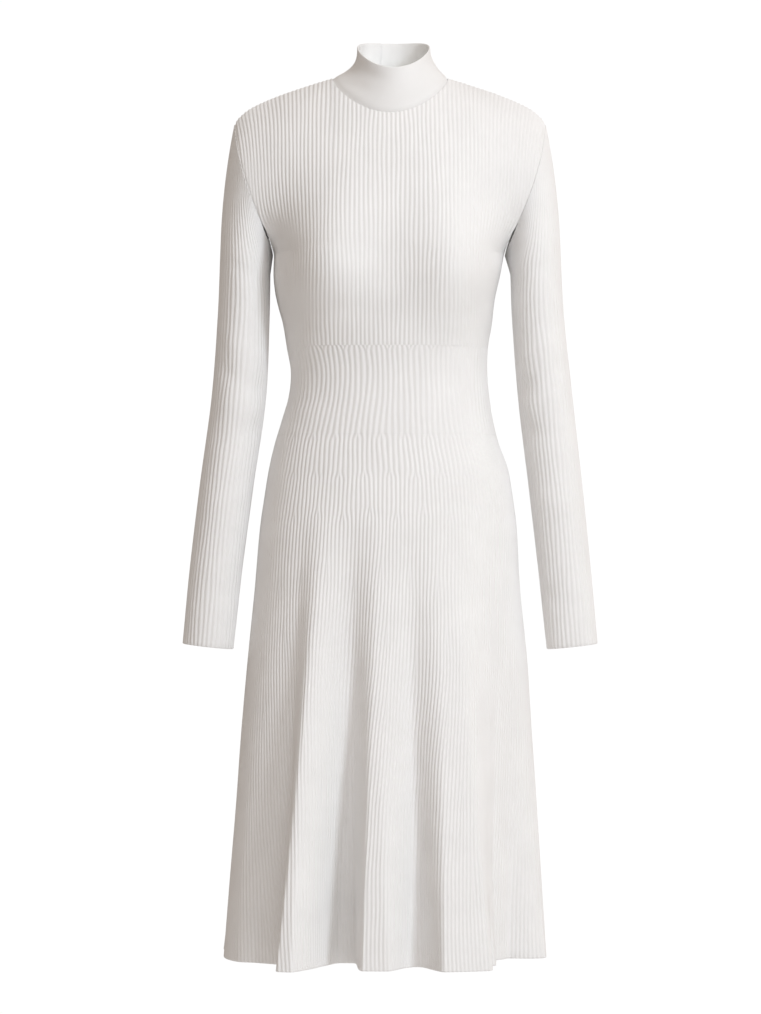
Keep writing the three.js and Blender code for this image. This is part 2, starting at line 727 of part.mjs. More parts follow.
// The back bodice with its slit cut from the neckline down.
function slitBack(geometry) {
  const neckBack = neckPoint(Math.PI);
  const blade = new THREE.BoxGeometry(SLIT.width, SLIT.length, 2 * SLIT.length);
  blade.translate(SLIT.x, neckBack.y + SLIT.length / 2 - SLIT.clear, neckBack.z);
  return toGeometry(toSolid(geometry).subtract(toSolid(blade)));
}

const dress = new THREE.Group();

function add(name, geometry) {
  const mesh = new THREE.Mesh(geometry, new THREE.MeshStandardMaterial(KNIT));
  mesh.name = name;
  dress.add(mesh);
}

add("collar", collarStrip());
add("bodice_front", bodiceHalf(FRONT));
add("bodice_back", slitBack(bodiceHalf(BACK)));
add("waist_front", bodyHalf(FRONT, WAIST_ROWS, WAIST_RIBS, WAIST_INSIDE));
add("waist_back", bodyHalf(BACK, WAIST_ROWS, WAIST_RIBS, WAIST_INSIDE));
add("skirt_front", bodyHalf(FRONT, SKIRT_ROWS, SKIRT_RIBS, SKIRT_INSIDE));
add("skirt_back", bodyHalf(BACK, SKIRT_ROWS, SKIRT_RIBS, SKIRT_INSIDE));
add("sleeve_left", sleeveTube(1));
add("sleeve_right", sleeveTube(-1));

export default dress;
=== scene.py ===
# A long-sleeved sweater dress in rib knit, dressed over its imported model.
# Lengths are in millimetres up to the mesh, which is in metres, and so are the lights and the camera.
# +X is the wearer's left, and the front faces -Y.

import math

import bpy
import numpy as np
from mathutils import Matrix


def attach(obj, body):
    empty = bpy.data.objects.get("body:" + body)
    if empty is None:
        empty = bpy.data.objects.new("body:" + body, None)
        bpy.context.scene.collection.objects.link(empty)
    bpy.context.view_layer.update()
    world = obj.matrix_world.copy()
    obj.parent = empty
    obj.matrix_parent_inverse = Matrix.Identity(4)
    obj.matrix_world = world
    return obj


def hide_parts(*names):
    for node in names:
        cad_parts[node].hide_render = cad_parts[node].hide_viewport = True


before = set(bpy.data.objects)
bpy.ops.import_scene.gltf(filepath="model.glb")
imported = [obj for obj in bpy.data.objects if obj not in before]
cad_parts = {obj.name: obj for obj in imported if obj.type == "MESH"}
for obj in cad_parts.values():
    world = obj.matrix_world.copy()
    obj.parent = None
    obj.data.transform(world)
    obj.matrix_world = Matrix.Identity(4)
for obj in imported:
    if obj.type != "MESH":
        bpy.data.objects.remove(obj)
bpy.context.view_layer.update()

# Heights and the knit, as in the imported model
UNDERARM_Z = -222.0
WAIST_TOP_Z = -337.5
WAIST_BOTTOM_Z = -446.0
FOLDS_START_Z = -530.0
HEM_Z = -1098.0
WALL = 2.4
COLLAR_WALL = 2.0
SEAM = 0.12
UNDERARM_GAP = 1.0

# The body of the dress by height: half widths to the wearer's right and left, depths to the front and back.
BODY = [
    (-222, 145, 142, 112, 96),
    (-250, 145.5, 137, 111, 94),
    (-277, 142, 131, 108, 90),
    (-307, 134, 127.5, 101, 84),
    (-337, 129, 122.5, 95, 79),
    (-367, 124, 121.5, 91, 79),
    (-397, 126.5, 124, 91, 84),
    (-427, 135, 128.5, 94, 92),
    (-457, 144, 136, 98, 102),
    (-487, 151, 147, 101, 111),
    (-517, 156, 152.5, 104, 119),
    (-562, 162.5, 158.5, 108, 127),
    (-637, 169, 163, 112, 134),
    (-727, 178, 172, 115, 139),
    (-817, 186, 177.5, 116, 145),
    (-907, 192.5, 183.5, 116, 152),
    (-997, 200, 189, 115, 160),
    (-1098, 208, 195.5, 114, 170),
]
SQUARENESS = 0.08
BUST_OUT, BUST_X, BUST_Z, BUST_WIDE, BUST_HIGH, BUST_FADING = 26, 82, -238, 50, 66, 4

# The skirt's folds at the hem, each a soft plateau or hollow: where it starts and ends in degrees from the
# centre front towards the wearer's left, how far out, how wide its two flanks are, and the lean.
FOLDS = [
    (-58, -36.5, -10, 12, 4, 0),
    (-34, -24.5, 56, 4.5, 6, -4),
    (-21, -11, -44, 6, 4.5, 0),
    (-10, 2.5, 32, 4, 7, 0),
    (6.5, 11, -8, 4, 4, 0),
    (13, 34, 44, 5, 7, 2),
    (43, 76, -45, 9, 16, 0),
    (108, 127, 20, 12, 12, 4),
    (131, 145, -26, 12, 14, 0),
    (147, 170, 34, 13, 13, 5),
    (172, 190, -24, 12, 12, 0),
    (194, 216, 32, 13, 12, -5),
    (218, 234, -27, 13, 12, 0),
    (238, 253, 20, 12, 12, -4),
]
FOLD_GROWTH = 1.2
FOLD_SOFTENING = 2

# The neckline and the shoulder seam
NECK_HALF_WIDTH, NECK_FRONT, NECK_BACK = 72.5, 64, 57
NECK_SHARE = 0.4
NAPE_RISE = 9
SHOULDER = [(0, 0), (0.4, 72.5), (0.7, 131), (1, 194.5)]
SHOULDER_SLOPE = [(72.5, 0), (97, -7.5), (141, -22.5), (175, -38), (190, -50.5), (194.5, -58)]
SHOULDER_POINT_X = 194.5

# The rows that steer the upper bodice: the chest's (x, y, z, middle depth, middle z), and the yoke's
# (share, x, depth, z).
CHEST = {"front": (150, 62, -196, 118, -165), "back": (148, 62, -196, 100, -165)}
YOKE = {
    "front": [(0, 0, 75, -15), (0.4, 73, 78, -34), (0.7, 128, 79, -62), (1, 188, 82, -135)],
    "back": [(0, 0, 85, 42), (0.4, 73, 80, 2), (0.7, 128, 78, -48), (1, 185.5, 84, -128)],
}

# The sleeve from the end of its cap to the wrist: outer edge x and z, inner edge x and z, half depth,
# how far it swings forward, and how much farther out the wearer's left one bows.
SLEEVE = [
    (212, -215, 149.5, -246, 52, 0, 1),
    (215.5, -300, 150.5, -302, 48, 1, 2),
    (223, -400, 155, -402, 44.5, 4, 5),
    (237, -505, 170, -508, 40, 8, 2.5),
    (249.5, -610, 184, -613, 35, 12, 0.5),
    (258.5, -706, 195, -713, 30, 16, 0),
]
CAP_FULLNESS = 14

# The mock neck
COLLAR_TOP = dict(half_width=45.6, centre_x=4.5, centre_y=-8, half_depth=52, z=37.5, dip=20.75, side=9.75)
COLLAR_NARROWING, COLLAR_RIGHT_NARROWING = 2.2, 1.1
COLLAR_ENDS = (-157, 214)
LAP_DEPTH, LAP_FROM, LAP_TO = 3.1, -146, -122
COLLAR_EDGE_SHARE, COLLAR_EDGE_OUTSIDE, COLLAR_EDGE_INSIDE = 0.975, 0.8, 0.7

# The slit at the back, below the collar: how wide a part of the columns is drawn to it, and from how many
# rows below
SLIT_X, SLIT_LENGTH = -25, 115
SLIT_NEARNESS, SLIT_FADING_ROWS = 0.12, 30

# The ribs. A half of the body has 13 groups of them, and each line of forks adds one to every group:
# its height, how tall a fork is, how far the line wanders up and down, and how often.
GROUPS = 13
FORKS = [
    (-446, 7, 0, 0),
    (-492, 9, 1.5, 2.0),
    (-537, 16, 4, 3.0),
    (-604, 40, 16, 2.3),
    (-690, 50, 24, 3.1),
    (-780, 60, 30, 2.7),
    (-880, 70, 30, 3.7),
    (-985, 70, 26, 2.9),
]
RIB_DEPTH = 0.85
RIB_ROUNDNESS = 0.8
CHEST_PITCH = 5.5
SLEEVE_PITCH = (6.5, 5.5)
SLEEVE_LENGTH_A_ROW = 100
YOKE_LENGTH = 180

# The seams' grooves, as a depth and a share of the piece, and the rounding of the hem and the cuffs
ARMHOLE_GROOVE, ARMHOLE_GROOVE_WIDTH = 0.7, 0.006
NECK_GROOVE, NECK_GROOVE_WIDTH = 1.5, 0.05
HEM_ROUNDING, HEM_ROUNDING_HEIGHT = 0.9, 1.2
CUFF_ROUNDING, CUFF_ROUNDING_ROWS = 0.8, 0.012

# How the ribs wander sideways, in ribs: by how much, over what height, and in how many waves around the half.
WANDERS = [(0.20, 47, 2), (0.13, 29, 5), (0.07, 13, 11)]

# The meshes: columns to each group of ribs, or to a whole piece, and the collar's rows
BODICE_COLUMNS, WAIST_COLUMNS, SKIRT_COLUMNS = 46, 36, 72
SLEEVE_TUBE_COLUMNS, COLLAR_STRIP_COLUMNS, COLLAR_STRIP_ROWS = 321, 241, 46
YOKE_ROWS = 49

# How near the underarm and the shoulder point, as shares of the armhole, its walls turn to meet theirs
ARMHOLE_LOW, ARMHOLE_TOP = 0.05, 0.93

# Creases, each from one point to another, with its width and its height: troughs are below 0, ridges above
BODY_CREASES = [
    ((-150, -40, -395), (-40, -120, -372), 9, -1.6),
    ((140, -40, -398), (30, -120, -380), 9, -1.4),
    ((-146, -30, -420), (-60, -115, -410), 10, 1.4),
    ((140, -30, -372), (60, -115, -362), 9, 1.2),
    ((-130, 60, -380), (-30, 105, -366), 10, -1.6),
    ((135, 60, -392), (20, 105, -378), 10, -1.5),
    ((120, 70, -350), (40, 105, -343), 9, 1.2),
    ((-125, 70, -412), (-45, 112, -405), 10, 1.3),
]
BODICE_CREASES = [
    ((-150, -90, -225), (-95, -130, -190), 9, -1.8),
    ((146, -90, -225), (98, -130, -195), 9, -1.8),
    ((-146, 70, -225), (-100, 95, -180), 10, -1.8),
    ((146, 70, -225), (96, 95, -186), 10, -1.8),
    ((-120, -80, -318), (-40, -108, -308), 10, 1.2),
    ((120, -80, -322), (50, -108, -312), 10, 1.2),
]
SLEEVE_CREASES = [
    ((150, -30, -396), (212, -44, -362), 11, -3.0),
    ((150, -30, -434), (216, -42, -452), 12, -2.6),
    ((158, 20, -404), (214, 40, -376), 12, -2.6),
    ((156, -30, -356), (206, -48, -326), 11, 2.0),
    ((160, -30, -412), (210, -44, -404), 12, 2.0),
    ((152, -30, -262), (192, -50, -236), 9, -2.0),
    ((152, 30, -262), (192, 50, -232), 9, -2.0),
    ((170, -40, -520), (226, -44, -536), 10, 1.4),
    ((182, -34, -640), (232, -40, -655), 9, -1.3),
]
COLLAR_CREASES = [
    ((-66, -26, 12), (-8, -62, -6), 8, -1.6),
    ((-80, -20, -14), (-20, -66, -34), 8, 1.0),
    ((58, 24, 6), (18, 46, -4), 10, -1.8),
    ((-50, 30, 14), (-14, 46, 4), 9, -1.4),
]
COLLAR_CREASES_FROM = 0.15

# The camera, in front of the dress and level with its middle
CAMERA_PLACE = (-0.0119, -4.5, -0.536)
CAMERA_LENS = 127.8

# Lights: name, place, what each is aimed at, size, power and colour
LIGHTS = [
    ("key", (2.55, -3.25, 1.3), (0, 0, -0.55), (0.8, 1.3), 82, (0.86, 0.94, 1.02)),
    ("front", (0.6, -4.4, 0.1), (0, 0, -0.6), (2.2, 2.4), 27, (0.86, 0.94, 1.02)),
    ("collar_glow", (-0.03, -0.014, -0.01), (0.02, 0.05, 0.03), (0.012, 0.012), 0.018, (1, 1, 0.96)),
    ("top", (0.4, -1.2, 2.6), (0, 0, -0.3), (2.0, 1.4), 16, (1, 1, 1)),
]

# The surroundings: dim on the wearer's right, brighter on the left, and a white backdrop behind the dress
RIGHT_STRENGTH, LEFT_STRENGTH, BACKDROP_STRENGTH = 0.345, 0.64, 1.02
BACKDROP_FROM, BACKDROP_TO = 0.80, 0.97
ROOM_TINT = (1.0, 0.875, 0.77, 1)
FLOOR_RADIUS, FLOOR_Z, FLOOR_SIDES = 2.2, -1.57, 64

FRONT, BACK = "front", "back"


def curve(rows, column, key=0):
    """A smooth curve through one column of a table, read at a value of its key column."""
    table = sorted(rows, key=lambda row: row[key])
    keys = np.array([row[key] for row in table], float)
    values = np.array([row[column] for row in table], float)
    before = np.maximum(np.arange(len(keys)) - 1, 0)
    after = np.minimum(np.arange(len(keys)) + 1, len(keys) - 1)
    slopes = (values[after] - values[before]) / (keys[after] - keys[before])

    def read(value):
        at = np.clip(np.asarray(value, float), keys[0], keys[-1])
        i = np.clip(np.searchsorted(keys, at) - 1, 0, len(keys) - 2)
        span = keys[i + 1] - keys[i]
        t = (at - keys[i]) / span
        low = values[i] * (1 + 2 * t) + slopes[i] * span * t
        high = values[i + 1] * (3 - 2 * t) - slopes[i + 1] * span * (1 - t)
        return low * (1 - t) ** 2 + high * t**2

    return read


def mirrored(rows):
    return [(-row[0], -row[1], *row[2:]) for row in rows[1:]] + list(rows)


def smoothstep(value, low, high):
    t = np.clip((value - low) / (high - low), 0, 1)
    return t * t * (3 - 2 * t)


def unit(vectors):
    return vectors / np.maximum(np.linalg.norm(vectors, axis=-1, keepdims=True), 1e-12)


def stack(x, y, z):
    return np.stack(np.broadcast_arrays(x, y, z), -1)


def half_turn(angle):
    return (angle + math.pi) % (2 * math.pi) - math.pi


def face_sign(face):
    return -1 if face == FRONT else 1


body_right, body_left, body_front, body_back = (curve(BODY, i) for i in (1, 2, 3, 4))
shoulder_x = curve(mirrored(SHOULDER), 1)
shoulder_slope = curve(SHOULDER_SLOPE, 1)
yoke_curves = {face: [curve(mirrored(YOKE[face]), i) for i in (1, 2, 3)] for face in (FRONT, BACK)}
sleeve_curves = [curve([(i, *row) for i, row in enumerate(SLEEVE)], 1 + k) for k in range(7)]


def body_point(z, angle):
    """The outside of the dress below the underarm, at a height and an angle from the centre front."""
    z, angle = np.broadcast_arrays(np.asarray(z, float), np.asarray(angle, float))
    sine, cosine = np.sin(angle), np.cos(angle)
    width = np.where(sine < 0, body_right(z), body_left(z))
    depth = np.where(cosine > 0, body_front(z), body_back(z))
    x = width * sine * (1 + SQUARENESS * cosine**2)
    y = -depth * cosine * (1 + SQUARENESS * sine**2)
    rises = np.exp(-(((x - BUST_X) / BUST_WIDE) ** 2)) + np.exp(-(((x + BUST_X) / BUST_WIDE) ** 2))
    fading = np.clip(BUST_FADING * cosine, 0, 1)
    y = y - BUST_OUT * rises * np.exp(-(((z - BUST_Z) / BUST_HIGH) ** 2)) * fading
    growth = np.clip((FOLDS_START_Z - z) / (FOLDS_START_Z - HEM_Z), 0, None) ** FOLD_GROWTH
    outward = unit(stack(sine / width, -cosine / depth, 0 * z))
    sideways = stack(-outward[..., 1], outward[..., 0], 0 * z)
    point = stack(x, y, z)
    widening = (1 + FOLD_SOFTENING * (1 - growth)) / 2
    for start, end, out, before, after, lean in FOLDS:
        turn = np.degrees(half_turn(angle - math.radians((start + end) / 2)))
        half = (end - start) / 2
        rising = smoothstep(turn, -half - before * widening, -half + before * widening)
        falling = 1 - smoothstep(turn, half - after * widening, half + after * widening)
        share = growth * rising * falling
        point = point + outward * (out * share)[..., None] + sideways * (lean * share)[..., None]
    return point


def body_normal(z, angle):
    across = body_point(z, angle + 0.004) - body_point(z, angle - 0.004)
    along = body_point(z + 2, angle) - body_point(z - 2, angle)
    return unit(np.cross(across, along))


def even_angles(z, face, shares):
    """Angles along half the body at one height, equal lengths of cloth apart, and the whole length."""
    middle, turn = (0, 1) if face == FRONT else (math.pi, -1)
    fine = middle + turn * np.linspace(-1, 1, 801) * math.pi / 2
    steps = np.linalg.norm(np.diff(body_point(z, fine), axis=0), axis=1)
    lengths = np.concatenate([[0], np.cumsum(steps)])
    return np.interp(np.asarray(shares) * lengths[-1], lengths, fine), lengths[-1]


def column_angle(face, u):
    turn = math.pi / 2 * (0.88 * u + 0.12 * u**3)
    return turn if face == FRONT else math.pi - turn


def shoulder_z(x):
    width = np.abs(x)
    inside = NAPE_RISE * (1 - (np.minimum(width, NECK_HALF_WIDTH) / NECK_HALF_WIDTH) ** 2)
    return np.where(width >= NECK_HALF_WIDTH, shoulder_slope(width), inside)


def chest_row(face, u):
    x, y, z, middle_depth, middle_z = CHEST[face]
    turn = math.acos(y / middle_depth)
    width = x / math.sin(turn)
    height = middle_z + (z - middle_z) * np.abs(u) ** 3
    return stack(width * np.sin(turn * u), face_sign(face) * middle_depth * np.cos(turn * u), height)


def yoke_point(face, u, v):
    """The surface above the underarm, v from that level to the shoulders."""
    u, v = np.broadcast_arrays(np.asarray(u, float), np.asarray(v, float))
    start = body_point(UNDERARM_Z + 0 * u, column_angle(face, u))
    x, depth, z = (part(u) for part in yoke_curves[face])
    steer = stack(x, face_sign(face) * depth, z)
    top_x = shoulder_x(u)
    top = stack(top_x, face_sign(face) * SEAM / 2 + 0 * u, shoulder_z(top_x))
    v = v[..., None]
    return (
        start * (1 - v) ** 3
        + 3 * chest_row(face, u) * v * (1 - v) ** 2
        + 3 * steer * v**2 * (1 - v)
        + top * v**3
    )


def yoke_normal(face, u, v):
    across = yoke_point(face, np.minimum(u + 0.02, 1), v) - yoke_point(face, np.maximum(u - 0.02, -1), v)
    up = yoke_point(face, u, np.minimum(v + 0.02, 1)) - yoke_point(face, u, np.maximum(v - 0.02, 0))
    return unit(np.cross(across, up)) * -face_sign(face)


def top_share(face, u):
    """How far up a column the bodice reaches: to the shoulder seam, or to the neckline inside it."""
    low, high = np.zeros_like(u), np.ones_like(u)
    depth = NECK_FRONT if face == FRONT else NECK_BACK
    for _ in range(30):
        middle = (low + high) / 2
        point = yoke_point(face, u, middle)
        outside = (point[..., 0] / NECK_HALF_WIDTH) ** 2 + (point[..., 1] / depth) ** 2 > 1
        low = np.where(outside, middle, low)
        high = np.where(outside, high, middle)
    return np.where(np.abs(u) >= NECK_SHARE - 1e-6, 1.0, low)


def shoulder_normal(x):
    slope = (shoulder_z(np.abs(x) + 1) - shoulder_z(np.abs(x) - 1)) / 2
    return unit(stack(-np.sign(x) * slope, 0 * x, 1 + 0 * x))


def sleeve_ring(side, ring, turn):
    ring, turn = np.broadcast_arrays(np.asarray(ring, float), np.asarray(turn, float))
    out_x, out_z, in_x, in_z, depth, forward, bow = (part(ring) for part in sleeve_curves)
    share = 0.5 + 0.5 * np.cos(turn)
    x = side * (in_x + (out_x - in_x) * share) + max(0, side) * bow
    return stack(x, -depth * np.sin(turn) - forward, in_z + (out_z - in_z) * share)


class Armhole:
    """The edge that a bodice half and a sleeve share: points, both walls' normals and their step."""

    def __init__(self, side, face, heights):
        v = np.asarray(heights, float)
        u = side + 0 * v
        self.point = yoke_point(face, u, v)
        bottom = abs(yoke_point(face, float(side), 0.0)[0])
        out = np.clip((np.abs(self.point[:, 0]) - bottom) / (SHOULDER_POINT_X - bottom), 0, 1)
        turn = -face_sign(face) * np.arccos(2 * out - 1)
        own = yoke_normal(face, u, v)
        above = yoke_point(face, u, np.minimum(v + 0.02, 1))
        along = unit(above - yoke_point(face, u, np.maximum(v - 0.02, 0)))
        down = sleeve_ring(side, 0.0, turn) - self.point
        handed = -face_sign(face) * side
        theirs = unit(np.cross(along, down)) * -handed
        shared = smoothstep(np.sum(own * theirs, -1), -0.1, 0.6)[:, None]
        bodice = unit(own + theirs * shared)
        sleeve_wall = unit(theirs + own * shared)
        away = np.cross(along, bodice) * handed * SEAM
        offset = own * UNDERARM_GAP * (1 - shared) + away * shared
        low = np.exp(-((v / ARMHOLE_LOW) ** 2))[:, None]
        outwards = np.array([side, 0.0, 0.0])
        under = unit(np.array([-side, 0.0, -0.2]))
        bodice = unit(bodice * (1 - low) + outwards * low)
        sleeve_wall = unit(sleeve_wall * (1 - low) + under * low)
        offset = offset * (1 - low) + outwards * UNDERARM_GAP * low
        top = smoothstep(v, ARMHOLE_TOP, 1.0)[:, None]
        seam = shoulder_normal(self.point[:, 0])
        drop = stack(side * seam[:, 2], 0 * v, -np.abs(seam[:, 0])) * SEAM
        self.bodice = unit(bodice * (1 - top) + seam * top)
        self.sleeve = unit(sleeve_wall * (1 - top) + seam * top)
        self.offset = offset * (1 - top) + drop * top


EDGE_HEIGHTS = np.linspace(0, 1, 61)


class CapEdge:
    """The sleeve's first ring, from the shoulder point down the front and up the back."""

    def __init__(self, side):
        front = Armhole(side, FRONT, EDGE_HEIGHTS)
        back = Armhole(side, BACK, EDGE_HEIGHTS)

        def joined(name):
            return np.concatenate([getattr(front, name)[::-1], getattr(back, name)[1:]])

        points = joined("point")
        lengths = np.concatenate([[0], np.cumsum(np.linalg.norm(np.diff(points, axis=0), axis=1))])
        middle = len(EDGE_HEIGHTS) - 1
        low = lengths[middle]
        self.shares = np.where(
            np.arange(len(lengths)) <= middle,
            lengths / low / 2,
            0.5 + (lengths - low) / (lengths[-1] - low) / 2,
        )
        self.points = points + joined("offset")
        self.normals = joined("sleeve")

    def read(self, table, share):
        share = np.asarray(share, float) % 1
        return np.stack([np.interp(share, self.shares, table[:, k]) for k in range(3)], -1)


cap_edges = {side: CapEdge(side) for side in (-1, 1)}


def sleeve_point(side, row, share):
    """The sleeve's surface: row 0 is the armhole, 1 the end of the cap, then a ring of the table a row."""
    row, share = np.broadcast_arrays(np.asarray(row, float), np.asarray(share, float))
    turn = 2 * math.pi * share
    edge = cap_edges[side].read(cap_edges[side].points, share)
    cap = edge * (1 - row)[..., None] + sleeve_ring(side, 0.0, turn) * row[..., None]
    cap[..., 0] += side * CAP_FULLNESS * row * (1 - row) * np.maximum(0, np.cos(turn))
    return np.where((row >= 1)[..., None], sleeve_ring(side, np.maximum(row - 1, 0), turn), cap)


def sleeve_normal(side, row, share):
    across = sleeve_point(side, row, share + 0.004) - sleeve_point(side, row, share - 0.004)
    last = len(SLEEVE)
    along = sleeve_point(side, np.minimum(row + 0.02, last), share)
    along = along - sleeve_point(side, np.maximum(row - 0.02, 0), share)
    return unit(np.cross(across, along)) * side


def neck_line():
    points = []
    for face in (FRONT, BACK):
        u = np.linspace(-NECK_SHARE, NECK_SHARE, 241)
        points.append(yoke_point(face, u, top_share(face, u)))
    points = np.concatenate(points)
    depth = np.where(points[:, 1] < 0, NECK_FRONT, NECK_BACK)
    angles = np.arctan2(points[:, 0] / NECK_HALF_WIDTH, -points[:, 1] / depth)
    order = np.argsort(angles)
    angles, points = angles[order], points[order]
    angles = np.concatenate([angles - 2 * math.pi, angles, angles + 2 * math.pi])
    return angles, np.concatenate([points, points, points])


neck_angles, neck_points = neck_line()


def neck_point(angle):
    turn = half_turn(np.asarray(angle, float))
    return np.stack([np.interp(turn, neck_angles, neck_points[:, k]) for k in range(3)], -1)


def neck_along(angle):
    return unit(neck_point(angle + 0.06) - neck_point(angle - 0.06))


def neck_normal(angle):
    along = neck_along(angle)
    sine, cosine = np.sin(angle), np.cos(angle)
    wanted = stack(sine, -cosine, np.where(cosine > 0, 0.75, 0.55) + 0.5 * sine**2)
    return unit(wanted - along * np.sum(wanted * along, -1, keepdims=True))


def collar_point(angle, share):
    angle, share = np.broadcast_arrays(np.asarray(angle, float), np.asarray(share, float))
    sine, cosine = np.sin(angle), np.cos(angle)
    base = neck_point(angle)
    top = stack(
        COLLAR_TOP["centre_x"] + COLLAR_TOP["half_width"] * sine,
        COLLAR_TOP["centre_y"] - COLLAR_TOP["half_depth"] * cosine,
        COLLAR_TOP["z"] - COLLAR_TOP["dip"] * cosine - COLLAR_TOP["side"] * cosine**2,
    )
    narrowing = COLLAR_NARROWING + COLLAR_RIGHT_NARROWING * np.maximum(0, -sine) ** 2
    point = top + (base - top) * ((1 - share) ** narrowing)[..., None]
    point[..., 2] = base[..., 2] + (top[..., 2] - base[..., 2]) * share
    return point


def collar_normal(angle, share):
    angle, share = np.broadcast_arrays(np.asarray(angle, float), np.asarray(share, float))
    across = collar_point(angle + 0.06, share) - collar_point(angle - 0.06, share)
    up = collar_point(angle, np.minimum(1, share + 0.02)) - collar_point(angle, np.maximum(share - 0.02, 0))
    low = np.exp(-((share / 0.08) ** 2))[..., None]
    return unit(unit(np.cross(across, up)) * (1 - low) + neck_normal(angle) * low)


# Ribs

def rib_height(phase):
    """How high the knit stands, 0 in a valley and 1 on a rib."""
    return (0.5 + 0.5 * np.cos(2 * math.pi * phase)) ** RIB_ROUNDNESS


def rib_wander(z, share):
    """How far a rib strays from its line, as handled knitting does: the same at both ends of the share."""
    moved = 0
    for amount, length, waves in WANDERS:
        moved = moved + amount * np.sin(z / length + waves) * np.sin(math.tau * waves * share)
    return moved


def body_phase(z, share):
    """Ribs counted along half the body. From the waist down every line of forks adds a rib to each group."""
    group = share * GROUPS
    count, start = 4.0, 0.0
    phase = count * group
    for number, (height, tall, wander, often) in enumerate(FORKS):
        target = round(count * (0.35 + 0.23 * (number % 3)) + start)
        fork = (target - start) / count
        line = height + wander * np.sin(often * group + 1.7 * number)
        done = smoothstep(-z, -line, -line + tall)
        phase = phase + done * ((group - fork) % 1 - 0.5)
        start = start - fork - 0.5
        count += 1
    return phase


def waist_phase(z, share):
    """The waist's four ribs a group, with a fifth forking off just under its upper edge."""
    group = share * GROUPS
    fork = 0.5
    done = smoothstep(z, WAIST_TOP_Z - 7, WAIST_TOP_Z)
    return 4 * group + done * ((group - fork) % 1 - 0.5)


def creased(points, normals, creases):
    """The points moved along their normals by soft troughs and ridges."""
    moved = points
    for start, end, width, height in creases:
        start, end = np.array(start, float), np.array(end, float)
        line = end - start
        t = np.clip(((points - start) @ line) / (line @ line), 0, 1)
        away = points - (start + t[..., None] * line)
        distance = np.linalg.norm(away, axis=-1)
        fade = np.sin(math.pi * np.clip(0.12 + 0.76 * t, 0, 1))
        amount = height * fade * np.exp(-((distance / width) ** 2))
        moved = moved + normals * amount[..., None]
    return moved


# Shells

def stitch(a, a_shares, b, b_shares):
    """Triangles between two edges whose points lie at different shares of the length."""
    faces = []
    i = j = 0
    while i < len(a) - 1 or j < len(b) - 1:
        next_a = a_shares[i + 1] if i < len(a) - 1 else math.inf
        next_b = b_shares[j + 1] if j < len(b) - 1 else math.inf
        if next_a <= next_b:
            faces.append((a[i], a[i + 1], b[j]))
            i += 1
        else:
            faces.append((a[i], b[j + 1], b[j]))
            j += 1
    return faces


